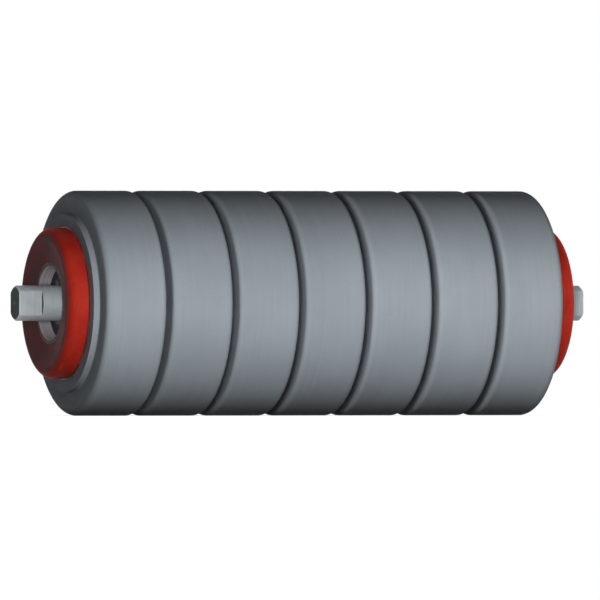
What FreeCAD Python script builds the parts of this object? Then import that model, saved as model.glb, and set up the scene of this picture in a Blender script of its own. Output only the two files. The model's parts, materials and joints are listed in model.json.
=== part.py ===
import FreeCAD, Part
import math
import os

# Impact roller of a belt conveyor: rubber rings on a steel tube that turns on a fixed shaft.
# Sizes are in millimetres. X is the roller's axis, +Z is up, and the origin is the roller's middle.
# Profiles are drawn as (x, radius) at the +X end. The -X end is the same piece turned end for end.

# Rubber rings
ring_count = 7
ring_pitch = 50.0             # width of a ring's hub, and so the step from ring to ring
ring_gap = 2.5                # groove between the rims of two neighbours
rubber_thickness = 25.5       # from the tube to the running face
hub_wall = 9.0                # rubber that is left under the groove
rim_edge_radius = 6.5
rim_root_radius = 1.0
hub_lip_radius = 0.5          # on the two free ends of the stack
end_edge_radius = 4.0         # rounding on the two free faces of the stack
end_face_setback = 2.6        # how far the free faces stand back from a normal rim face

# Tube that carries the rings
tube_diameter = 108.0
tube_wall = 4.0
tube_end_margin = 1.5         # tube that reaches past the pitch of the outer rings

# Shaft with two milled flats at each end
shaft_diameter = 25.0
shaft_shoulder = 2.5          # step up to the thicker middle, where the bearing stops
shaft_projection = 22.0       # from the crest of the end cap to the end of the shaft
shaft_chamfer = 1.2
flat_across = 18.0
flat_length = 17.0
centre_diameter = 6.0         # lathe centre in each end face
centre_angle = 60.0

# Deep groove ball bearing
ball_diameter = 7.94
ball_count = 9
race_wall = 2.78              # steel under the bottom of a raceway
race_shoulder = 1.9           # from the bottom of a raceway to the ring's shoulder
race_clearance = 0.08         # between a ball and its raceway
race_chamfer = 0.8
bearing_width = 15.0
bearing_setback = 12.5        # from the end of the tube to the bearing
cage_wall = 2.4
cage_bar = 1.5                # cage beside a ball
pocket_clearance = 0.2

# Cast housing that holds the bearing in the tube
housing_wall = 5.0            # around the bearing
housing_web = 7.0
housing_fillet = 4.0
housing_rim_wall = 5.5
housing_rim_length = 22.0
housing_rim_setback = 6.5     # from the end of the tube to the rim of the housing
housing_back = 4.0            # lip behind the bearing
housing_back_height = 6.0     # from the bore down to the edge of that lip
nose_wall = 3.0               # collar that shows around the shaft
nose_chamfer = 0.8

# Moulded end cap
cap_inset = 0.5               # the cap stands this far inside the tube's outer edge
cap_height = 14.5             # from the end of the tube to the crest of the rim
cap_rim_radius = 7.0
cap_edge_radius = 0.6         # on the edges at the collar and at the tube
cap_dish_angle = 13.0         # slope of the face down to the collar
cap_wall = 3.0
cap_rib_count = 8
cap_rib_wall = 2.2
cap_rib_setback = 3.0

# Seals on both sides of the bearing
labyrinth_length = 14.7
labyrinth_hub_wall = 2.5
labyrinth_disc = 3.0          # outer disc of the fixed half
labyrinth_edge_radius = 0.8   # on the rim of that disc
labyrinth_base = 2.5          # inner disc of the turning half
labyrinth_wall = 2.2          # outer wall of the turning half
labyrinth_fins = 2            # fins on each half
seal_gap = 0.7                # running gap between what turns and what stands still
seal_flange = 2.0
seal_lip_wall = 1.5
seal_lip_length = 9.0

# Retaining ring on the shaft
circlip_thickness = 1.2
circlip_width = 3.0
circlip_taper = 0.6           # how much wider the ring is opposite its gap
circlip_gap = 5.0
circlip_lug_radius = 2.4
circlip_hole_radius = 1.0
groove_depth = 0.55
groove_clearance = 0.1

# Fits
seat_clearance = 0.02         # round a pressed or bonded seat
plug_clearance = 0.1          # round the moulded cap in the tube and on the housing

# Radii that the pieces share
tube_radius = tube_diameter / 2
tube_bore = tube_radius - tube_wall
hub_radius = tube_radius + hub_wall
running_radius = tube_radius + rubber_thickness
shaft_radius = shaft_diameter / 2
shoulder_radius = shaft_radius + shaft_shoulder
ball_radius = ball_diameter / 2
pitch_radius = shaft_radius + race_wall + ball_radius
bearing_radius = pitch_radius + ball_radius + race_wall
inner_shoulder = shaft_radius + race_wall + race_shoulder
outer_shoulder = bearing_radius - race_wall - race_shoulder
nose_radius = bearing_radius + nose_wall
cap_radius = tube_radius - cap_inset
collar_bore = nose_radius + plug_clearance

# Places along the axis, at the +X end
stack_end = ring_count * ring_pitch / 2
tube_end = stack_end + tube_end_margin
cap_crest = tube_end + cap_height
shaft_end = cap_crest + shaft_projection
bearing_outer_face = tube_end - bearing_setback
bearing_inner_face = bearing_outer_face - bearing_width
bearing_middle = bearing_outer_face - bearing_width / 2
housing_stop = bearing_inner_face - seal_flange
housing_rim_end = tube_end - housing_rim_setback
labyrinth_end = bearing_outer_face + labyrinth_length
cap_slope = math.radians(cap_dish_angle)


def cap_face(radius, depth):
    """Place along X of the cap's dished face at a radius, at a depth below its outer surface."""
    rim_centre = cap_crest - cap_rim_radius
    reach = cap_rim_radius - depth
    rise = (radius - cap_radius + cap_rim_radius) * math.sin(cap_slope)
    return rim_centre + (reach + rise) / math.cos(cap_slope)


cap_mouth = cap_face(collar_bore, 0)


def corner_edges(before, corner, after):
    """End points of the arc that rounds a corner, with the arc itself, or the bare corner."""
    point = FreeCAD.Vector(corner[0], 0, corner[1])
    radius = corner[2] if len(corner) > 2 else 0
    if radius == 0:
        return point, point, None
    to_before = (FreeCAD.Vector(before[0], 0, before[1]) - point).normalize()
    to_after = (FreeCAD.Vector(after[0], 0, after[1]) - point).normalize()
    half_angle = to_before.getAngle(to_after) / 2
    reach = radius / math.tan(half_angle)
    start = point + to_before * reach
    end = point + to_after * reach
    inward = (to_before + to_after).normalize()
    middle = point + inward * (radius / math.sin(half_angle) - radius)
    return start, end, Part.Arc(start, middle, end).toShape()


def turned(corners):
    """Solid of revolution about X from corners (x, radius) or (x, radius, rounding)."""
    count = len(corners)
    rounded = [corner_edges(corners[i - 1], corners[i], corners[(i + 1) % count]) for i in range(count)]
    edges = []
    for i in range(count):
        start = rounded[i - 1][1]
        end = rounded[i][0]
        if start.distanceToPoint(end) > Part.Precision.confusion():
            edges.append(Part.makeLine(start, end))
        if rounded[i][2]:
            edges.append(rounded[i][2])
    face = Part.Face(Part.Wire(edges))
    return face.revolve(FreeCAD.Vector(0, 0, 0), FreeCAD.Vector(1, 0, 0), 360)


def end_for_end(shape):
    """The same piece, turned round to the -X end."""
    other = shape.copy()
    other.rotate(FreeCAD.Vector(0, 0, 0), FreeCAD.Vector(0, 0, 1), 180)
    return other


def around_axis(shape, count):
    """Copies of a shape, evenly spaced about X."""
    copies = []
    for i in range(count):
        copy = shape.copy()
        copy.rotate(FreeCAD.Vector(0, 0, 0), FreeCAD.Vector(1, 0, 0), 360 * i / count)
        copies.append(copy)
    return copies


def impact_ring(middle, at_end):
    """One rubber ring. The ring at the end of the stack covers the tube to its end."""
    rim = (ring_pitch - ring_gap) / 2
    hub = ring_pitch / 2
    free_rim = rim - end_face_setback if at_end else rim
    free_hub = hub + tube_end_margin if at_end else hub
    free_edge = end_edge_radius if at_end else rim_edge_radius
    free_lip = hub_lip_radius if at_end else 0
    bore = tube_radius + seat_clearance
    root = min(rim_root_radius, ring_gap / 3)
    return turned([
        (middle - hub, bore),
        (middle + free_hub, bore),
        (middle + free_hub, hub_radius, free_lip),
        (middle + free_rim, hub_radius, root),
        (middle + free_rim, running_radius, free_edge),
        (middle - rim, running_radius, rim_edge_radius),
        (middle - rim, hub_radius, root),
        (middle - hub, hub_radius),
    ])


def tube():
    return turned([
        (-tube_end, tube_bore),
        (tube_end, tube_bore),
        (tube_end, tube_radius),
        (-tube_end, tube_radius),
    ])


def shaft():
    """Turned shaft with a thick middle, bearing seats, ring grooves, milled flats and lathe centres."""
    groove_end = labyrinth_end + circlip_thickness + groove_clearance
    groove_radius = shaft_radius - groove_depth
    centre_radius = centre_diameter / 2
    centre_depth = centre_radius / math.tan(math.radians(centre_angle / 2))
    right = [
        (bearing_inner_face, shoulder_radius),
        (bearing_inner_face, shaft_radius),
        (labyrinth_end, shaft_radius),
        (labyrinth_end, groove_radius),
        (groove_end, groove_radius),
        (groove_end, shaft_radius),
        (shaft_end - shaft_chamfer, shaft_radius),
        (shaft_end, shaft_radius - shaft_chamfer),
        (shaft_end, centre_radius),
        (shaft_end - centre_depth, 0),
    ]
    left = [(-x, radius) for x, radius in reversed(right)]
    bar = turned(left + right)
    flat_depth = shaft_radius - flat_across / 2
    for side in (-1, 1):
        cutter_corner = FreeCAD.Vector(shaft_end - flat_length, -shaft_radius, -shaft_radius)
        cutter = Part.makeBox(flat_length, flat_depth, shaft_diameter, cutter_corner)
        if side > 0:
            cutter = cutter.mirror(FreeCAD.Vector(0, 0, 0), FreeCAD.Vector(0, 1, 0))
        bar = bar.cut(cutter).cut(end_for_end(cutter))
    return bar


def raceway():
    """Space that the balls sweep, with the clearance that they run in."""
    return Part.makeTorus(
        pitch_radius,
        ball_radius + race_clearance,
        FreeCAD.Vector(bearing_middle, 0, 0),
        FreeCAD.Vector(1, 0, 0),
    )


def bearing_inner_ring():
    bore = shaft_radius + seat_clearance
    blank = turned([
        (bearing_inner_face + race_chamfer, bore),
        (bearing_outer_face - race_chamfer, bore),
        (bearing_outer_face, bore + race_chamfer),
        (bearing_outer_face, inner_shoulder),
        (bearing_inner_face, inner_shoulder),
        (bearing_inner_face, bore + race_chamfer),
    ])
    return blank.cut(raceway())


def bearing_outer_ring():
    outside = bearing_radius - seat_clearance
    blank = turned([
        (bearing_inner_face, outer_shoulder),
        (bearing_outer_face, outer_shoulder),
        (bearing_outer_face, outside - race_chamfer),
        (bearing_outer_face - race_chamfer, outside),
        (bearing_inner_face + race_chamfer, outside),
        (bearing_inner_face, outside - race_chamfer),
    ])
    return blank.cut(raceway())


def ball_row(radius):
    ball = Part.makeSphere(radius, FreeCAD.Vector(bearing_middle, 0, pitch_radius))
    return around_axis(ball, ball_count)


def bearing_balls():
    return Part.makeCompound(ball_row(ball_radius))


def bearing_cage():
    """Ring with a round pocket for each ball."""
    half_width = ball_radius + pocket_clearance + cage_bar
    band = turned([
        (bearing_middle - half_width, pitch_radius - cage_wall / 2),
        (bearing_middle + half_width, pitch_radius - cage_wall / 2),
        (bearing_middle + half_width, pitch_radius + cage_wall / 2),
        (bearing_middle - half_width, pitch_radius + cage_wall / 2),
    ])
    for pocket in ball_row(ball_radius + pocket_clearance):
        band = band.cut(pocket)
    return band


def bearing_housing():
    """Casting: rim in the tube, web over the bearing, and a collar that comes out through the cap."""
    bore = bearing_radius
    hub = bore + housing_wall
    rim_outside = tube_bore - seat_clearance
    rim_inside = rim_outside - housing_rim_wall
    rim_start = housing_rim_end - housing_rim_length
    back = housing_stop - housing_back
    web_start = bearing_middle - housing_web / 2
    web_end = bearing_middle + housing_web / 2
    fillet = min(housing_fillet, (rim_inside - hub) / 3)
    return turned([
        (back, bore - housing_back_height),
        (housing_stop, bore - housing_back_height),
        (housing_stop, bore),
        (cap_mouth - nose_chamfer, bore),
        (cap_mouth, bore + nose_chamfer),
        (cap_mouth, nose_radius),
        (housing_rim_end, nose_radius),
        (housing_rim_end, hub),
        (web_end, hub, fillet),
        (web_end, rim_inside, fillet),
        (housing_rim_end, rim_inside),
        (housing_rim_end, rim_outside),
        (rim_start, rim_outside),
        (rim_start, rim_inside),
        (web_start, rim_inside, fillet),
        (web_start, hub, fillet),
        (back, hub),
    ])


def end_cap():
    """Moulded cover: plug in the tube, round rim, dished face, and ribs round the collar inside."""
    plug_outside = tube_bore - plug_clearance
    plug_inside = plug_outside - cap_wall
    plug_end = housing_rim_end + plug_clearance
    collar_outside = collar_bore + cap_wall
    outside = turned([
        (plug_end, collar_bore),
        (cap_mouth, collar_bore, cap_edge_radius),
        (cap_face(cap_radius, 0), cap_radius, cap_rim_radius),
        (tube_end, cap_radius, cap_edge_radius),
        (tube_end, plug_outside),
        (plug_end, plug_outside),
    ])
    cavity = turned([
        (plug_end, collar_outside),
        (cap_face(collar_outside, cap_wall), collar_outside),
        (cap_face(plug_inside, cap_wall), plug_inside, cap_wall),
        (plug_end, plug_inside),
    ])
    rib_start = plug_end + cap_rib_setback
    rib_corner = FreeCAD.Vector(rib_start, -cap_rib_wall / 2, collar_bore)
    rib = Part.makeBox(cap_crest - rib_start, cap_rib_wall, cap_radius - collar_bore, rib_corner)
    for plate in around_axis(rib, cap_rib_count):
        cavity = cavity.cut(plate)
    return outside.cut(cavity)


def grease_seal():
    """Disc behind the bearing, held by its outer ring, with a lip along the shaft."""
    lip = shoulder_radius + seal_gap
    outside = bearing_radius - seat_clearance
    lip_start = bearing_inner_face - seal_lip_length
    return turned([
        (lip_start, lip),
        (bearing_inner_face - seal_gap, lip),
        (bearing_inner_face - seal_gap, outer_shoulder),
        (bearing_inner_face, outer_shoulder),
        (bearing_inner_face, outside),
        (housing_stop, outside),
        (housing_stop, lip + seal_lip_wall),
        (lip_start, lip + seal_lip_wall),
    ])


# Labyrinth: fins of the two halves interleave between the hub on the shaft and the wall in the housing
labyrinth_hub = shaft_radius + labyrinth_hub_wall
labyrinth_outside = bearing_radius - seat_clearance
labyrinth_inside = labyrinth_outside - labyrinth_wall
fin_room = labyrinth_inside - labyrinth_hub - seal_gap
fin_wall = fin_room / (2 * labyrinth_fins) - seal_gap
fin_step = 2 * (fin_wall + seal_gap)
base_end = bearing_outer_face + seal_gap + labyrinth_base
disc_start = labyrinth_end - labyrinth_disc


def with_fins(body, first_radius, start, end):
    """A half of the labyrinth with its ring fins."""
    for i in range(labyrinth_fins):
        inside = first_radius + i * fin_step
        fin = turned([(start, inside), (end, inside), (end, inside + fin_wall), (start, inside + fin_wall)])
        body = body.fuse(fin)
    return body.removeSplitter()


def labyrinth_turning_half():
    """Half that is pressed into the housing against the bearing's outer ring."""
    bore = labyrinth_hub + seal_gap
    face = bearing_outer_face + seal_gap
    fin_end = disc_start - seal_gap
    body = turned([
        (face, bore),
        (base_end, bore),
        (base_end, labyrinth_inside),
        (fin_end, labyrinth_inside),
        (fin_end, labyrinth_outside),
        (bearing_outer_face, labyrinth_outside),
        (bearing_outer_face, outer_shoulder),
        (face, outer_shoulder),
    ])
    return with_fins(body, bore, base_end, fin_end)


def labyrinth_fixed_half():
    """Half on the shaft, held by the retaining ring. Its disc closes the recess in the housing."""
    bore = shaft_radius + seat_clearance
    body = turned([
        (bearing_outer_face, bore),
        (labyrinth_end, bore),
        (labyrinth_end, bearing_radius - seal_gap, labyrinth_edge_radius),
        (disc_start, bearing_radius - seal_gap),
        (disc_start, labyrinth_hub),
        (bearing_outer_face, labyrinth_hub),
    ])
    first_fin = labyrinth_hub + 2 * seal_gap + fin_wall
    return with_fins(body, first_fin, base_end + seal_gap, disc_start)


def clip_disc(radius, middle_y, middle_z):
    """Disc as thick as the retaining ring, in the plane of its groove."""
    place = FreeCAD.Vector(labyrinth_end, middle_y, middle_z)
    return Part.makeCylinder(radius, circlip_thickness, place, FreeCAD.Vector(1, 0, 0))


def circlip():
    """Open spring ring, widest opposite its gap, with a lug and a hole on each side of the gap."""
    bore = shaft_radius - groove_depth + seat_clearance
    outside = bore + circlip_width
    lug_height = bore + circlip_lug_radius
    lug_side = circlip_gap / 2 + circlip_lug_radius
    ring = clip_disc(outside, 0, -circlip_taper)
    for lug_place in (-lug_side, lug_side):
        ring = ring.fuse(clip_disc(circlip_lug_radius, lug_place, lug_height))
    for lug_place in (-lug_side, lug_side):
        ring = ring.cut(clip_disc(circlip_hole_radius, lug_place, lug_height))
    gap_corner = FreeCAD.Vector(labyrinth_end, -circlip_gap / 2, 0)
    gap = Part.makeBox(circlip_thickness, circlip_gap, outside + circlip_width, gap_corner)
    return ring.cut(clip_disc(bore, 0, 0)).cut(gap)


pieces = {"shaft": shaft(), "tube": tube()}

outer_ring = impact_ring(stack_end - ring_pitch / 2, True)
for number in range(1, ring_count + 1):
    middle = (number - (ring_count + 1) / 2) * ring_pitch
    if number == 1:
        pieces["impact_ring_1"] = end_for_end(outer_ring)
    elif number == ring_count:
        pieces[f"impact_ring_{number}"] = outer_ring
    else:
        pieces[f"impact_ring_{number}"] = impact_ring(middle, False)

end_pieces = {
    "bearing_housing": bearing_housing(),
    "end_cap": end_cap(),
    "bearing_inner_ring": bearing_inner_ring(),
    "bearing_outer_ring": bearing_outer_ring(),
    "bearing_balls": bearing_balls(),
    "bearing_cage": bearing_cage(),
    "grease_seal": grease_seal(),
    "labyrinth_turning_half": labyrinth_turning_half(),
    "labyrinth_fixed_half": labyrinth_fixed_half(),
    "circlip": circlip(),
}
for name, shape in end_pieces.items():
    pieces[f"right_{name}"] = shape
    pieces[f"left_{name}"] = end_for_end(shape)

os.makedirs("parts", exist_ok=True)
for name, shape in pieces.items():
    shape.exportStep(f"parts/{name}.step")
    print(name, "solids", len(shape.Solids), "valid", shape.isValid(), "volume", round(shape.Volume))
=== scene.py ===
# %% [markdown]
# An impact roller carries a conveyor belt at the place where the load drops on it. Grey rubber rings sit
# side by side on a steel tube, the tube turns on two ball bearings, and the shaft through the middle stands
# still in the conveyor's brackets. The sizes, the moving bodies and the hidden pieces come from the packed
# model, so this script loads that first and then works on how everything looks.

import json
import math

import bmesh
import bpy
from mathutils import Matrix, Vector


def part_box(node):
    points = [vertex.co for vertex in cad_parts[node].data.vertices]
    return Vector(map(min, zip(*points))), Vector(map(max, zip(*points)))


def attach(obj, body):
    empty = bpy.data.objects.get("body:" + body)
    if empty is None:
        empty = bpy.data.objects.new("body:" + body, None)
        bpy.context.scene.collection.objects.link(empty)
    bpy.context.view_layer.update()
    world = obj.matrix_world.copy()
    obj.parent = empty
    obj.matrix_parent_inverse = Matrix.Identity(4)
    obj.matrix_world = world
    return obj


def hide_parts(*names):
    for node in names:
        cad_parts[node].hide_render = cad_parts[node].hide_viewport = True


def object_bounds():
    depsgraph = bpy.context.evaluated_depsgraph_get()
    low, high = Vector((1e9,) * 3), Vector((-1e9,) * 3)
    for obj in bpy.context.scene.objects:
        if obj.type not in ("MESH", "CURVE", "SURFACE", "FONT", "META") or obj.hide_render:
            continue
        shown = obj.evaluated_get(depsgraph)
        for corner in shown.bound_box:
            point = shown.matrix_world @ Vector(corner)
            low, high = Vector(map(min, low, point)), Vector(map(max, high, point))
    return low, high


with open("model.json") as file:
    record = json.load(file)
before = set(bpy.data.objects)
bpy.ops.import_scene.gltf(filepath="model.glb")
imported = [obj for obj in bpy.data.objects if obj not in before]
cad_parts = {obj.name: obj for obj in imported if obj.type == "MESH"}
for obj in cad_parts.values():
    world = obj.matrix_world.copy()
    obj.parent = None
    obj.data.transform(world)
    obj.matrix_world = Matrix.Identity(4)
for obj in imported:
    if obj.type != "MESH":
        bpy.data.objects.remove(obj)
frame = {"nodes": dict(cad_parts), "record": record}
cad_low, cad_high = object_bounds()
scene = bpy.context.scene
scene.view_settings.view_transform = "Standard"
MM = 0.001
print("loaded", len(frame["nodes"]), "nodes, box in mm", [round(side / MM, 1) for side in cad_high - cad_low])

# %% [markdown]
# The photograph has no perspective: the top and bottom of the roller stay parallel. An orthographic camera
# would do that too, but a very long lens a long way off looks the same and keeps the whole roller in the
# frame when the camera is moved round it. The camera stands level with the axis, to the left of square on.

# %% Camera
CAMERA_TURN = math.radians(-20.4)
LENS = 1700.0
SENSOR = 36.0
FRAME_WIDTH = 424.8 * MM      # width of the picture, measured at the roller's axis
AIM_RIGHT = 1.45 * MM         # the roller's middle lies a little left of the picture's middle
AIM_UP = 2.25 * MM            # and a little below it

to_camera = Vector((math.sin(CAMERA_TURN), -math.cos(CAMERA_TURN), 0))
camera_right = Vector((math.cos(CAMERA_TURN), math.sin(CAMERA_TURN), 0))
aim = camera_right * AIM_RIGHT + Vector((0, 0, AIM_UP))
distance = FRAME_WIDTH * LENS / SENSOR

camera_data = bpy.data.cameras.new("camera")
camera_data.lens = LENS
camera_data.sensor_width = SENSOR
camera_data.clip_end = 2 * distance
camera = bpy.data.objects.new("camera", camera_data)
camera.location = aim + to_camera * distance
camera.rotation_euler = (-to_camera).to_track_quat("-Z", "Y").to_euler()
scene.collection.objects.link(camera)
scene.camera = camera
print("camera stands", round(distance, 2), "m away")

# %% [markdown]
# Shader nodes are easier to read as arithmetic. This class wraps one output of a node, so that `1 - mask`
# or `grain * 0.2` adds the Math node that does it. One method makes every other kind of node, from its
# type, its settings and the values or links of its sockets.


# %% A shader socket that can be used in expressions
class Wire:
    """An output of a shader node. Without an output, it is a place to start from."""

    def __init__(self, tree, output=None):
        self.tree = tree
        self.output = output

    def node(self, kind, settings, inputs, output=0):
        """Adds a node of a kind. Its settings come first, then its sockets' values or links."""
        made = self.tree.nodes.new(kind)
        for name, value in settings.items():
            setattr(made, name, value)
        for name, value in inputs.items():
            if isinstance(value, Wire):
                self.tree.links.new(value.output, made.inputs[name])
            else:
                made.inputs[name].default_value = value
        return Wire(self.tree, made.outputs[output])

    def beside(self, output):
        """Another output of the same node."""
        return Wire(self.tree, self.output.node.outputs[output])

    def maths(self, operation, *values):
        return self.node("ShaderNodeMath", {"operation": operation}, dict(enumerate(values)))

    def __add__(self, other):
        return self.maths("ADD", self, other)

    __radd__ = __add__

    def __sub__(self, other):
        return self.maths("SUBTRACT", self, other)

    def __rsub__(self, other):
        return self.maths("SUBTRACT", other, self)

    def __mul__(self, other):
        return self.maths("MULTIPLY", self, other)

    __rmul__ = __mul__

    def __truediv__(self, other):
        return self.maths("DIVIDE", self, other)

    def __rtruediv__(self, other):
        return self.maths("DIVIDE", other, self)

    def __abs__(self):
        return self.maths("ABSOLUTE", self)

    def larger(self, other):
        return self.maths("MAXIMUM", self, other)

    def rise(self, low, high):
        """0 below low, 1 above high, and a smooth step between them."""
        settings = {"interpolation_type": "SMOOTHSTEP"}
        return self.node("ShaderNodeMapRange", settings, {"Value": self, "From Min": low, "From Max": high})


print("a wire knows", [name for name in vars(Wire) if not name.startswith("__init")])

# %% [markdown]
# The background is plain white. White light from every side would make the roller flat and pale, so the
# world is white only for what is seen directly: by the camera, in a reflection, or through something clear.
# For all other rays it is a faint grey that fills the shadows.

# %% World
WHITE = (1, 1, 1, 1)
FILL = 0.035


def seen_directly(tree):
    """1 for a ray from the camera or from a shiny or clear surface, 0 for any other ray."""
    from_camera = Wire(tree).node("ShaderNodeLightPath", {}, {}, "Is Camera Ray")
    from_shine = from_camera.beside("Is Glossy Ray")
    through_clear = from_camera.beside("Is Transmission Ray")
    return from_camera.larger(from_shine).larger(through_clear)


world = bpy.data.worlds.new("white studio")
world.use_nodes = True
scene.world = world
world_tree = world.node_tree
seen = seen_directly(world_tree)
fill_light = seen.node("ShaderNodeBackground", {}, {"Color": WHITE, "Strength": FILL})
white_wall = seen.node("ShaderNodeBackground", {}, {"Color": WHITE, "Strength": 1.0})
world_mix = seen.node("ShaderNodeMixShader", {}, {0: seen, 1: fill_light, 2: white_wall})
world_tree.links.new(world_mix.output, world_tree.nodes["World Output"].inputs["Surface"])
print("world is white to look at, and gives", FILL, "of that as light")

# %% [markdown]
# The roller lies on a plain floor. A square plane would do, but seen from above its corners could come into
# view, so the floor is a wide disc.

# %% Floor
FLOOR_RADIUS = 9.0
FLOOR_SIDES = 64

floor_mesh = bmesh.new()
bmesh.ops.create_circle(floor_mesh, cap_ends=True, segments=FLOOR_SIDES, radius=FLOOR_RADIUS)
floor_data = bpy.data.meshes.new("floor")
floor_mesh.to_mesh(floor_data)
floor_mesh.free()
floor = bpy.data.objects.new("floor", floor_data)
floor.location.z = cad_low.z
scene.collection.objects.link(floor)
print("floor lies at", round(cad_low.z / MM, 1), "mm")

# %% [markdown]
# White paint alone would throw light up at the roller and wash out the dark underside that the photograph
# shows. So the floor is two things: to look at, it is part plain white and part matt paint that can hold a
# shadow, and for light that bounces up to the roller it is a dull grey.

# %% Floor paint
FLOOR_WHITE = 0.7             # share of plain white in what is seen of the floor
PALE_PAINT = 0.8
DULL_PAINT = 0.1

floor_finish = bpy.data.materials.new("pale floor")
floor_finish.use_nodes = True
floor_tree = floor_finish.node_tree
floor_tree.nodes.remove(floor_tree.nodes["Principled BSDF"])
seen = seen_directly(floor_tree)
dull = seen.node("ShaderNodeBsdfDiffuse", {}, {"Color": (DULL_PAINT, DULL_PAINT, DULL_PAINT, 1)})
pale = seen.node("ShaderNodeBsdfDiffuse", {}, {"Color": (PALE_PAINT, PALE_PAINT, PALE_PAINT, 1)})
white = seen.node("ShaderNodeEmission", {}, {"Color": WHITE, "Strength": 1.0})
to_look_at = seen.node("ShaderNodeMixShader", {}, {0: FLOOR_WHITE, 1: pale, 2: white})
floor_mix = seen.node("ShaderNodeMixShader", {}, {0: seen, 1: dull, 2: to_look_at})
floor_tree.links.new(floor_mix.output, floor_tree.nodes["Material Output"].inputs["Surface"])
floor_data.materials.append(floor_finish)
print("floor is seen as", FLOOR_WHITE, "plain white and", round(1 - FLOOR_WHITE, 2), "paint")

# %% [markdown]
# A broad, high sun that shines on the floor alone brings the paint up to white too, except where the roller
# keeps it off, so a soft shadow stays. Light linking limits it to the floor: a lamp that has a collection of
# receivers shines only on the pieces in it, while all other pieces still cast their shadows.

# %% Sun for the floor
SUN_WIDTH = math.radians(70)

lit_by_sun = bpy.data.collections.new("lit by the sun")
lit_by_sun.objects.link(floor)
sun_data = bpy.data.lights.new("floor sun", "SUN")
sun_data.energy = math.pi / PALE_PAINT
sun_data.angle = SUN_WIDTH
sun = bpy.data.objects.new("floor sun", sun_data)
sun.light_linking.receiver_collection = lit_by_sun
scene.collection.objects.link(sun)
print("sun has a strength of", round(sun_data.energy, 2))

# %% [markdown]
# In the photograph the roller is brightest along its middle and falls off fast and evenly to dark edges
# above and below. The right-hand edge of every ring is dark and the left-hand one bright, and the faces that
# look along the axis stay dim. A large soft lamp would light all of these alike. A row of small lamps close
# in front of the roller doesn't: they stand level with the axis and shine from a little further left than
# the camera looks. The same row behind the roller, turned end for end, serves the views from there.

# %% Rows of lamps
ROW_AWAY = 0.32               # from the axis to the row
ROW_UP = 0.003                # makes up for the light that the floor sends up
ROW_STEP = 0.06
ROW_START = -0.2
ROW_COUNT = 8
ROW_POWER = 0.063
ROW_SPREAD = math.radians(100)
ROW_SHINES = Vector((0.5, 0.866, 0))
FADE_FROM = 1.075             # the light of the row drifts to the right and adds up there,
FADE_STEP = 0.055             # so each lamp is this much weaker than the one before it
FIRST_POWER = 2.35            # the first lamp also does the work of those that are left out beyond it
FIRST_SHINES = Vector((0.1, 1, 0)).normalized()


def add_lamp(name, place, shines, length, height, power, spread=math.pi):
    """A flat lamp that the camera doesn't see."""
    lamp_data = bpy.data.lights.new(name, "AREA")
    lamp_data.shape = "RECTANGLE"
    lamp_data.size = length
    lamp_data.size_y = height
    lamp_data.energy = power
    lamp_data.spread = spread
    lamp = bpy.data.objects.new(name, lamp_data)
    lamp.location = place
    lamp.rotation_euler = shines.to_track_quat("-Z", "Y").to_euler()
    lamp.visible_camera = False
    scene.collection.objects.link(lamp)
    return lamp


row_lamps = []
for row, side in (("front", 1), ("back", -1)):
    for i in range(ROW_COUNT):
        place = Vector((ROW_START + i * ROW_STEP, -ROW_AWAY, 0)) * side + Vector((0, 0, ROW_UP))
        shines = (FIRST_SHINES if i == 0 else ROW_SHINES) * side
        power = ROW_POWER * (FIRST_POWER if i == 0 else FADE_FROM - FADE_STEP * i)
        row_lamps.append(add_lamp(f"{row} row {i + 1}", place, shines, ROW_STEP, ROW_STEP, power, ROW_SPREAD))
print("lamps in the rows:", len(row_lamps))

# %% [markdown]
# A soft lamp above the roller and one at each end keep the views from those sides readable. They are large
# and weak, so that they don't fill in the dark edges in the photograph's own view.

# %% Lamps above and at the ends
OVERHEAD_UP = 0.8
OVERHEAD_LENGTH = 0.7
OVERHEAD_DEPTH = 0.4
OVERHEAD_POWER = 0.1
END_AWAY = 0.8
END_LAMP = 0.3
END_POWER = {"left": 0.2, "right": 0.6}

straight_down = Vector((0, 0, -1))
add_lamp("overhead", (0, 0, OVERHEAD_UP), straight_down, OVERHEAD_LENGTH, OVERHEAD_DEPTH, OVERHEAD_POWER)
for end, side in (("left", -1), ("right", 1)):
    place = (END_AWAY * side, 0, 0)
    add_lamp(f"{end} end", place, Vector((-side, 0, 0)), END_LAMP, END_LAMP, END_POWER[end])

# %% [markdown]
# The shaft ends and what stands round them in the mouths of the caps are bright in the photograph, and the
# row doesn't reach into there. Stronger lamps at the ends would spoil the caps, so these pieces are taken out
# of the row's light and get lamps of their own, one from the camera's side of each end and one from behind.
# Light linking does both, because a collection can also name the pieces that a lamp leaves out. The
# right-hand cap, which the rings shade from the row, gets a lamp from its own side in the same way.

# %% Lamps for the shaft ends
NEAR_AXIS = ("shaft", "bearing_housing", "labyrinth_fixed_half", "circlip")
MOUTH = 0.19                  # from the middle of the roller to the mouth of a cap
MOUTH_AWAY = 0.45
MOUTH_LAMP = 0.08
MOUTH_POWER = {"left": 1.75, "right": 2.2}
CAP_SHINES = Vector((-1, 1, 0)).normalized()
CAP_POWER = 0.45

near_axis = [piece for node, piece in frame["nodes"].items() if node.endswith(NEAR_AXIS)]
mouth_only = bpy.data.collections.new("near the axis")
all_but_mouth = bpy.data.collections.new("all but near the axis")
for piece in near_axis:
    mouth_only.objects.link(piece)
    all_but_mouth.objects.link(piece)
for member in all_but_mouth.collection_objects:
    member.light_linking.link_state = "EXCLUDE"
for lamp in row_lamps:
    lamp.light_linking.receiver_collection = all_but_mouth

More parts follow.
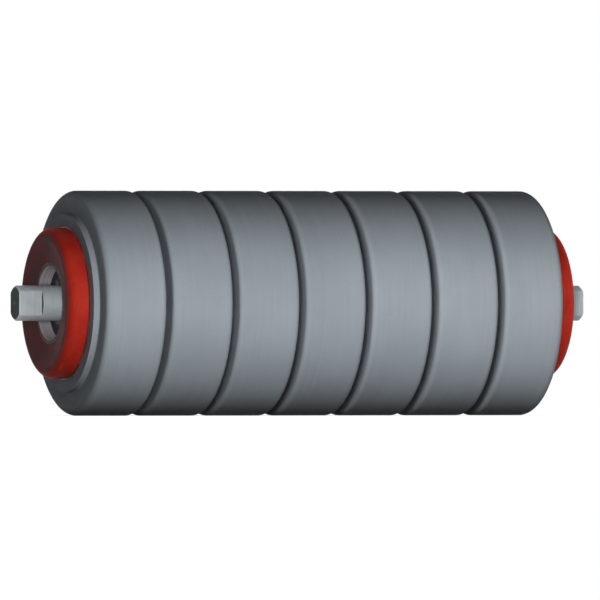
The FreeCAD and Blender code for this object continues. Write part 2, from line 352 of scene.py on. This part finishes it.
for end, along in (("left", -MOUTH), ("right", MOUTH)):
    for face, side in (("front", 1), ("back", -1)):
        place = Vector((along, 0, 0)) + to_camera * side * MOUTH_AWAY
        shines = -to_camera * side
        lamp = add_lamp(f"{end} mouth {face}", place, shines, MOUTH_LAMP, MOUTH_LAMP, MOUTH_POWER[end])
        lamp.light_linking.receiver_collection = mouth_only

right_cap = bpy.data.collections.new("right cap")
right_cap.objects.link(frame["nodes"]["right_end_cap"])
place = Vector((MOUTH, 0, 0)) - CAP_SHINES * MOUTH_AWAY
cap_lamp = add_lamp("right cap", place, CAP_SHINES, MOUTH_LAMP, MOUTH_LAMP, CAP_POWER)
cap_lamp.light_linking.receiver_collection = right_cap
print("lit apart:", [piece.name for piece in near_axis])

# %% [markdown]
# A colour that is picked from a picture can't go into a shader as it is: a picture stores its levels along a
# curve, and a shader adds up light, which has none. This helper takes the curve out.


# %% Colours
def srgb(red, green, blue):
    """A colour as a picture gives it, 0 to 255, turned into the linear values that a shader takes."""
    linear = []
    for level in (red / 255, green / 255, blue / 255):
        linear.append(level / 12.92 if level <= 0.04045 else ((level + 0.055) / 1.055) ** 2.4)
    return (*linear, 1.0)


print("a picture's middle grey is", round(srgb(128, 128, 128)[0], 3), "to a shader")

# %% [markdown]
# Every finish starts in the same way: a Principled shader, with the numbers that are the same all over set
# on its own sockets, and the place of each point on the piece as coordinates in metres. On a turned piece
# the useful ones are the place along the axis, the distance from the axis, and a direction round it. The
# direction is kept as a pair of numbers that meet again after a full turn, so no seam shows. How far a
# surface faces along the axis is useful too: it is 1 on shoulders and end faces and 0 on round surfaces.

# %% Start of a finish
MIX_SHARE, MIX_FIRST, MIX_SECOND = 0, 6, 7     # a Mix node's inputs for colours, by number
MIX_RESULT = 2                # and its output


class Finish:
    """A material in the making, with the coordinates of a turned piece."""

    def __init__(self, name, **constants):
        self.material = bpy.data.materials.new(name)
        self.material.use_nodes = True
        self.tree = self.material.node_tree
        self.shader = self.tree.nodes["Principled BSDF"]
        for socket, value in constants.items():
            self.shader.inputs[socket.replace("_", " ")].default_value = value
        self.start = Wire(self.tree)
        self.place = self.start.node("ShaderNodeTexCoord", {}, {}, "Object")
        self.along = self.start.node("ShaderNodeSeparateXYZ", {}, {0: self.place}, "X")
        self.across = self.along.beside("Y")
        self.up = self.along.beside("Z")
        square = self.across * self.across + self.up * self.up
        self.radius = self.start.maths("SQRT", square)
        self.turn_across = self.across / self.radius
        self.turn_up = self.up / self.radius
        normal = self.start.node("ShaderNodeNewGeometry", {}, {}, "Normal")
        self.endways = abs(self.start.node("ShaderNodeSeparateXYZ", {}, {0: normal}, "X"))

    def noise(self, lumps, detail, vector=None):
        """Cloudy noise round 0.5, with so many lumps in a metre."""
        inputs = {"Vector": vector or self.place, "Scale": lumps, "Detail": detail}
        return self.start.node("ShaderNodeTexNoise", {}, inputs)

    def lines(self, lumps, detail):
        """Noise drawn out round the axis, as a lathe tool or a grinding wheel leaves it."""
        places = {"X": self.along * lumps, "Y": self.turn_across, "Z": self.radius * lumps + self.turn_up}
        return self.noise(1.0, detail, self.start.node("ShaderNodeCombineXYZ", {}, places))

    def streaks(self, lumps, detail):
        """Noise with its own number of lumps in a metre along, across and up."""
        inputs = {0: self.place, 1: lumps}
        stretched = self.start.node("ShaderNodeVectorMath", {"operation": "MULTIPLY"}, inputs)
        return self.noise(1.0, detail, stretched)

    def blend(self, share, first, second):
        """Mixes two colours: all first at a share of 0, all second at 1."""
        inputs = {MIX_SHARE: share, MIX_FIRST: first, MIX_SECOND: second}
        return self.start.node("ShaderNodeMix", {"data_type": "RGBA"}, inputs, MIX_RESULT)

    def relief(self, height, depth, under=None):
        """A bump of a depth in metres, on top of another one if there is one."""
        inputs = {"Distance": depth, "Height": height}
        if under:
            inputs["Normal"] = under
        return self.start.node("ShaderNodeBump", {}, inputs)

    def use(self, **wires):
        """Links wires to the shader's sockets and returns the finished material."""
        for name, wire in wires.items():
            self.tree.links.new(wire.output, self.shader.inputs[name.replace("_", " ")])
        return self.material


print("a finish knows", [name for name in vars(Finish) if not name.startswith("__")])

# %% [markdown]
# The packed model says in the material slot of each node which finish it should have, and in its record
# which body it moves with. Both are kept by node, so that no list of pieces has to be written again here.

# %% Slots and bodies
finishes = {}
body_of = {node: body for body, nodes in frame["record"]["behaviour"]["bodies"].items() for node in nodes}
slot_of = {node: piece.material_slots[0].name for node, piece in frame["nodes"].items()}
print("finishes to make:", sorted(set(slot_of.values())))

# %% [markdown]
# The rings are moulded from a grey, filled rubber and their running faces are ground true. Where the wheel
# went, the rubber is pale and matt, with faint lines round it and a fine grain. The more a surface turns
# sideways, the less of it the wheel reached, so the sides and the ends of the bends that lead to them keep
# the closer skin of the mould. Their dark colour is partly that skin and partly painted shade, which stands
# for the shade on the sides and in the grooves, darkest deep down by the hub. The skin and its painted shade
# could be a second material on chosen faces, but that would have a hard border, so a mask from the surface's
# own direction blends the two. All of the detail is weak: from a step away the ring looks plain grey.

# %% Grey rubber
RUBBER_DARK = srgb(143, 150, 157)
RUBBER_LIGHT = srgb(156, 164, 170)
# colours of the sides: partly the mould's skin, partly painted shade for the sides and the grooves
SKIN_AND_SHADE_DARK = srgb(122, 128, 134)
SKIN_AND_SHADE_LIGHT = srgb(140, 147, 154)
HUB_RADIUS = 63 * MM
RIM_RADIUS = -cad_low.z       # the rings stand on the floor
GROOVE_EDGE = 3 * MM          # at the hub and at the rim, where the groove's shade is even
WHEEL_SLIPS = 0.82            # the wheel cuts less of what turns sideways by more than this
WHEEL_MISSES = 0.97           # and nothing of what turns by more than this
# down by the hub the rest of a round face takes the skin's colour, as painted shade deep in the groove
GROUND_DEEP = 0.88            # share of ground rubber on a round face down by the hub

rubber = Finish("grey rubber", Specular_IOR_Level=0.02)
cloud = rubber.noise(lumps=16, detail=4)
wheel_lines = rubber.lines(lumps=420, detail=3)
grain = rubber.noise(lumps=1500, detail=2)
shade = (cloud * 0.5 + wheel_lines * 0.2 + grain * 0.3).rise(0.3, 0.7)
shallow = rubber.radius.rise(HUB_RADIUS + GROOVE_EDGE, RIM_RADIUS - GROOVE_EDGE)
ground = (GROUND_DEEP + shallow * (1 - GROUND_DEEP)) * (1 - rubber.endways.rise(WHEEL_SLIPS, WHEEL_MISSES))
bloom = (rubber.noise(lumps=55, detail=5) * 0.7 + grain * 0.3).rise(0.35, 0.65)
# the skin's colour, darker deep down by the hub: partly the mould's skin, partly painted shade
skin_and_painted_shade = rubber.blend(bloom * 0.4 + shallow * 0.6, SKIN_AND_SHADE_DARK, SKIN_AND_SHADE_LIGHT)
mould_marks = rubber.relief(rubber.noise(lumps=140, detail=3), depth=0.1 * MM)
finishes["ring_rubber"] = rubber.use(
    Base_Color=rubber.blend(ground, skin_and_painted_shade, rubber.blend(shade, RUBBER_DARK, RUBBER_LIGHT)),
    Roughness=0.5 + ground * 0.12 + cloud * 0.16,
    Normal=rubber.relief(grain * 0.6 + ground * wheel_lines * 0.4, depth=0.05 * MM, under=mould_marks),
)
print("rims end", round(RIM_RADIUS / MM, 1), "mm from the axis, and hubs", round(HUB_RADIUS / MM, 1), "mm")

# %% [markdown]
# The end caps are injection moulded from red nylon. The mould gives them a fine satin grain, and where the
# melt flowed the colour drifts a little. The round crest is what knocks against things, so it carries a few
# thin pale scuffs that run round it. The dished face behind it is a darker, greyer red, more so in patches:
# partly dust that sticks to the grease that the seal lets out, partly painted shade and a painted grey sheen.
# An image could show all this too, but the cap would have to be unwrapped for it. Noise that follows the
# axis needs no unwrapping and stays sharp from close by.

# %% Red nylon
RED_DEEP = srgb(166, 37, 26)
RED_BRIGHT = srgb(186, 50, 36)
RED_SCUFFED = srgb(200, 108, 92)
# grey and dark on the dish: partly dust on grease, partly painted shade and painted sheen
DUST_SHADE_AND_SHEEN = srgb(98, 86, 88)
CREST = 184 * MM              # from the middle of the roller to where a cap's crest starts
CREST_FADE = 5 * MM

nylon = Finish("red nylon", Specular_IOR_Level=0.06)
flow = nylon.noise(lumps=45, detail=4)
grain = nylon.noise(lumps=1100, detail=3)
crest = abs(nylon.along).rise(CREST, CREST + CREST_FADE)
knocks = nylon.lines(lumps=700, detail=4).rise(0.58, 0.72) * nylon.noise(lumps=60, detail=3).rise(0.48, 0.62)
scuff = crest * knocks * 0.6
red = nylon.blend((flow * 0.7 + grain * 0.3).rise(0.35, 0.65), RED_DEEP, RED_BRIGHT)
# mask of the dish that faces along the axis, for dust on grease and for painted shade and painted sheen
grey_patches = nylon.endways.rise(0.9, 0.97) * (0.6 + nylon.noise(lumps=90, detail=5).rise(0.3, 0.7) * 0.3)
finishes["cap_red"] = nylon.use(
    Base_Color=nylon.blend(grey_patches, nylon.blend(scuff, red, RED_SCUFFED), DUST_SHADE_AND_SHEEN),
    Roughness=0.55 + flow * 0.14 + grey_patches * 0.2,
    Normal=nylon.relief(grain, depth=0.04 * MM),
)
print("red nylon has scuffs past", round(CREST / MM, 1), "mm")

# %% [markdown]
# The shaft is bright bar. Most of it was turned, which leaves fine lines round it. The flats at its ends were
# milled, so their marks run straight across. The end faces and the shoulders behind the flats were cut
# across the bar, are dull, and hold dirt, and so does the centre hole that the lathe needed. Their dark
# colour is partly that dull, dirty steel and partly painted shade. An anisotropic shader would show the lines
# in its highlights alone. As noise they change colour, roughness and relief together, and masks from the
# flats' own sizes, which the record's mounts hold, say which kind goes where.

# %% Bright steel
STEEL_DARK = srgb(148, 154, 158)
STEEL_LIGHT = srgb(168, 174, 177)
# cut faces and centre hole: dull, dirty steel, painted darker as painted shade
SAWN_AND_SHADE_DARK = srgb(54, 57, 58)
SAWN_AND_SHADE_LIGHT = srgb(72, 76, 77)
MILLED_LUMPS = (900, 0, 40)
HOLE_RADIUS = 4 * MM
BORDER = 0.1 * MM

mounts = {mount["name"]: mount for mount in frame["record"]["mounts"]}
flat_start = cad_high.x - mounts["right_shaft_end"]["dims"]["length_mm"] * MM
flat_away = mounts["right_flat_back"]["pos_m"][1]

steel = Finish("bright steel", Specular_IOR_Level=0.1)
turned = steel.lines(lumps=1300, detail=4)
milled = steel.streaks(MILLED_LUMPS, detail=4)
past_shoulder = abs(steel.along).rise(flat_start - BORDER, flat_start + BORDER)
on_flat = past_shoulder * (1 - abs(abs(steel.across) - flat_away).rise(0.2 * BORDER, 0.8 * BORDER))
marks = turned + on_flat * (milled - turned)
near_end = abs(steel.along).rise(flat_start, flat_start + MM)
in_hole = (1 - steel.radius.rise(0.9 * HOLE_RADIUS, HOLE_RADIUS)) * near_end
dull = steel.endways.rise(0.75, 0.9).larger(in_hole)
stain = steel.noise(lumps=70, detail=4)
bright = steel.blend((marks * 0.5 + stain * 0.5).rise(0.3, 0.7), STEEL_DARK, STEEL_LIGHT)
# colour of the cut faces and the centre hole, with painted shade
sawn_and_shaded = steel.blend((turned * 0.5 + stain * 0.5).rise(0.3, 0.7), SAWN_AND_SHADE_DARK, SAWN_AND_SHADE_LIGHT)
finishes["shaft_steel"] = steel.use(
    Base_Color=steel.blend(dull, bright, sawn_and_shaded),
    Metallic=0.2 - dull * 0.2,
    Roughness=0.4 + marks * 0.14 + dull * 0.3,
    Normal=steel.relief(marks, depth=0.015 * MM),
)
print("flats start at", round(flat_start / MM, 1), "mm and lie", round(flat_away / MM, 1), "mm from the axis")

# %% [markdown]
# The bearing housing is cast iron. Only its collar shows, in the mouth of the cap. Its bore was machined and
# is bright. The lip and all the rest keep the sand's rough skin. Its dark colour is partly that skin and
# partly painted shade, on the lip that faces along the axis. The sand's grain could be modelled, but it is
# finer than any mesh that is worth its weight, so a bump stands for it.

# %% Cast iron
# cast skin, darker still as painted shade on the lip that faces along the axis
SAND_SKIN_AND_SHADE_DARK = srgb(70, 69, 70)
SAND_SKIN_AND_SHADE_LIGHT = srgb(92, 90, 91)
MACHINED_DARK = srgb(136, 130, 134)
MACHINED_LIGHT = srgb(154, 148, 152)
COLLAR_START = 171 * MM
COLLAR_BORE = 26 * MM

iron = Finish("cast iron", Specular_IOR_Level=0.08)
sand = iron.noise(lumps=420, detail=5)
lines = iron.lines(lumps=1100, detail=3)
in_collar = abs(iron.along).rise(COLLAR_START, COLLAR_START + MM)
machined = in_collar * (1 - iron.radius.rise(COLLAR_BORE + 0.2 * MM, COLLAR_BORE + 0.5 * MM))
bare = iron.blend(lines.rise(0.3, 0.7), MACHINED_DARK, MACHINED_LIGHT)
# cast skin colour; on the lip that shows it is partly painted shade
cast = iron.blend(sand.rise(0.35, 0.65), SAND_SKIN_AND_SHADE_DARK, SAND_SKIN_AND_SHADE_LIGHT)
rough_cast = iron.relief((1 - machined) * sand, depth=0.4 * MM)
finishes["housing_iron"] = iron.use(
    Base_Color=iron.blend(machined, cast, bare),
    Metallic=machined * 0.2,
    Roughness=0.8 - machined * 0.35 + lines * 0.1,
    Normal=iron.relief(machined * lines, depth=0.03 * MM, under=rough_cast),
)
print("collar is machined past", round(COLLAR_START / MM), "mm")

# %% [markdown]
# Both halves of the seal and the disc behind the bearing are black nylon. Grease creeps out of a seal and
# catches dust, so the black is broken by a dull grey film, thicker in patches. Plain black would look like a
# hole. Two noises are added up, and where their sum is high the film shows.

# %% Black nylon
BLACK = srgb(26, 26, 29)
DUSTY_BLACK = srgb(46, 45, 48)

black = Finish("black nylon", Specular_IOR_Level=0.06)
grey_patches = black.noise(lumps=160, detail=5)
ridges = black.lines(lumps=800, detail=2)
film = (grey_patches * 0.7 + ridges * 0.3).rise(0.42, 0.66)
finishes["seal_black"] = black.use(
    Base_Color=black.blend(film, BLACK, DUSTY_BLACK),
    Roughness=0.38 + film * 0.35,
    Normal=black.relief(ridges + grey_patches * 0.4, depth=0.05 * MM),
)
print("black nylon is ready")

# %% [markdown]
# The retaining rings are stamped from spring steel and phosphated, which leaves a dark grey, faintly mottled
# coat. Where the pliers and the groove rubbed, steel shows through. A mask that finds edges could place the
# rubbed spots, but it depends on how fine the mesh is. On rings this small a coarse noise does as well.

# %% Phosphated spring steel
COAT_DARK = srgb(46, 47, 50)
COAT_LIGHT = srgb(66, 67, 69)
RUBBED_STEEL = srgb(130, 133, 135)

spring = Finish("phosphated steel", Specular_IOR_Level=0.1)
mottle = spring.noise(lumps=900, detail=4)
rubbed = spring.noise(lumps=240, detail=3).rise(0.6, 0.72)
coat = spring.blend(mottle.rise(0.35, 0.65), COAT_DARK, COAT_LIGHT)
finishes["circlip_steel"] = spring.use(
    Base_Color=spring.blend(rubbed * 0.4, coat, RUBBED_STEEL),
    Metallic=0.1 + rubbed * 0.2,
    Roughness=0.55 - rubbed * 0.15,
    Normal=spring.relief(mottle, depth=0.02 * MM),
)
print("spring steel is ready")

# %% [markdown]
# The tube is out of sight under the rings, but the model can be taken apart, so it gets a proper finish too.
# It was drawn through a die, which leaves lines along it, and patches of mill scale stay on it. Noise that is
# long along the axis and fine across it gives the lines.

# %% Drawn tube
TUBE_DARK = srgb(96, 98, 102)
TUBE_LIGHT = srgb(150, 151, 153)
DRAWN_LUMPS = (8, 500, 500)

tube = Finish("drawn tube")
drawn = tube.streaks(DRAWN_LUMPS, detail=4)
scale = tube.noise(lumps=50, detail=5).rise(0.4, 0.62)
finishes["tube_steel"] = tube.use(
    Base_Color=tube.blend((drawn * 0.4 + scale * 0.6).rise(0.2, 0.8), TUBE_DARK, TUBE_LIGHT),
    Metallic=0.9 - scale * 0.2,
    Roughness=0.4 + scale * 0.2,
    Normal=tube.relief(drawn, depth=0.04 * MM),
)
print("tube is ready")

# %% [markdown]
# The bearings' rings and balls are ground and polished. A perfect mirror would look like no real metal, so
# the finest lines round the axis stay in the colour and the roughness. The cages between the balls are
# moulded from natural nylon, pale and warm, with a faint mottle from the fibres in it.

# %% Bearings and cages
POLISHED_DARK = srgb(186, 189, 192)
POLISHED_LIGHT = srgb(208, 210, 212)
CAGE_DARK = srgb(186, 176, 150)
CAGE_LIGHT = srgb(206, 198, 174)

polished = Finish("polished steel", Metallic=1.0)
honed = polished.lines(lumps=2600, detail=3)
finishes["bearing_steel"] = polished.use(
    Base_Color=polished.blend(honed.rise(0.3, 0.7), POLISHED_DARK, POLISHED_LIGHT),
    Roughness=0.14 + honed * 0.12,
    Normal=polished.relief(honed, depth=0.01 * MM),
)

cage = Finish("natural nylon", Specular_IOR_Level=0.4)
fibres = cage.noise(lumps=700, detail=5)
finishes["cage_nylon"] = cage.use(
    Base_Color=cage.blend(fibres.rise(0.35, 0.65), CAGE_DARK, CAGE_LIGHT),
    Roughness=0.45 + fibres * 0.15,
    Normal=cage.relief(fibres, depth=0.03 * MM),
)
print("finishes made:", sorted(finishes))

# %% [markdown]
# The rings come out of a mould one by one and are pushed on the tube until their hubs touch. Their rims are
# narrower than the hubs, so a groove stays open between every two rings. In the photograph these grooves are
# clean dark bands between tight bends, more so than on the packed rings, and they are the first thing that
# the eye takes in. So the rings are modelled again here, in the room that the packed ones hold.
#
# A cylinder with a bevel would do for a rim alone. A section that is drawn once, with a radius of its own for
# every corner, and then spun round the axis gives hub, groove and rim in one closed mesh. Smooth shading
# would drift across the wide faces beside a bend, so a loop close to the end of each bend stops it.

# %% A section that is spun round the axis
SPIN_STEPS = 240
BEND_STEP = 0.5 * MM          # a bend gets one step for each of these in its radius,
FEWEST_STEPS = 2              # and so many at least
LOOP_AWAY = 0.4 * MM          # from the end of a bend to the loop that keeps the next face flat


def rounded(corners):
    """Points of a closed section, from its square corners (along, out, radius)."""
    points = []
    for i, (along, out, radius) in enumerate(corners):
        corner = Vector((along, out))
        back = (Vector(corners[i - 1][:2]) - corner).normalized()
        ahead = (Vector(corners[(i + 1) % len(corners)][:2]) - corner).normalized()
        middle = corner + (back + ahead) * radius
        points.append(corner + back * (radius + LOOP_AWAY))
        steps = max(FEWEST_STEPS, round(radius / BEND_STEP))
        for step in range(steps + 1):
            turn = math.pi / 2 * step / steps
            points.append(middle - (ahead * math.cos(turn) + back * math.sin(turn)) * radius)
        points.append(corner + ahead * (radius + LOOP_AWAY))
    return points


def spun(name, section):
    """A closed mesh from a section that is spun round the X axis."""
    shape = bmesh.new()
    loops = []
    for step in range(SPIN_STEPS):
        turn = 2 * math.pi * step / SPIN_STEPS
        places = [(point.x, point.y * math.sin(turn), point.y * math.cos(turn)) for point in section]
        loops.append([shape.verts.new(place) for place in places])
    for i in range(SPIN_STEPS):
        for j in range(len(section)):
            face = shape.faces.new((loops[i - 1][j - 1], loops[i - 1][j], loops[i][j], loops[i][j - 1]))
            face.smooth = True
    bmesh.ops.recalc_face_normals(shape, faces=shape.faces)
    mesh = bpy.data.meshes.new(name)
    shape.to_mesh(mesh)
    shape.free()
    piece = bpy.data.objects.new(name, mesh)
    scene.collection.objects.link(piece)
    return piece


print("a section is spun in", SPIN_STEPS, "steps")

# %% [markdown]
# Each ring takes its place and its width from the packed ring that it stands for, and its bore from the tube.
# The seven could be copies of one mesh, but the first and the last differ: their hubs go on to the end of the
# tube, and their rims end before that, in a wider bend. So every ring is drawn from its own eight corners.

# %% Rubber rings
RING_FIT = 0.02 * MM          # from the tube to the bore of a ring
GROOVE = 5 * MM               # between the rims of two rings
RIM_BEND = 3.5 * MM
FREE_FACE = 172 * MM          # from the middle of the roller to the outer side of the last rim
FREE_BEND = 5 * MM
ROOT_BEND = 0.8 * MM
HUB_BEND = 0.4 * MM

bore_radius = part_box("tube")[1].z + RING_FIT
ring_nodes = sorted(node for node, slot in slot_of.items() if slot == "ring_rubber")
for node in ring_nodes:
    low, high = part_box(node)
    rim_start = max(low.x + GROOVE / 2, -FREE_FACE)
    rim_end = min(high.x - GROOVE / 2, FREE_FACE)
    ring = spun("rubber_" + node, rounded((
        (low.x, bore_radius, HUB_BEND),
        (high.x, bore_radius, HUB_BEND),
        (high.x, HUB_RADIUS, HUB_BEND),
        (rim_end, HUB_RADIUS, ROOT_BEND),
        (rim_end, RIM_RADIUS, FREE_BEND if node == ring_nodes[-1] else RIM_BEND),
        (rim_start, RIM_RADIUS, FREE_BEND if node == ring_nodes[0] else RIM_BEND),
        (rim_start, HUB_RADIUS, ROOT_BEND),
        (low.x, HUB_RADIUS, HUB_BEND),
    )))
    ring.data.materials.append(finishes["ring_rubber"])
    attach(ring, body_of[node])
    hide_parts(node)
    print(ring.name, "has", len(ring.data.polygons), "faces, and its rim ends at", round(rim_end / MM, 2))

# %% [markdown]
# A node whose solid is right as it is stays, and only takes its finish. Its mesh isn't touched, so the piece
# still moves and fits as it was packed.

# %% Finishes on the packed nodes
for node, piece in frame["nodes"].items():
    piece.material_slots[0].material = finishes[slot_of[node]]
print("dressed", len(frame["nodes"]), "nodes")

# %% [markdown]

# %% [markdown]
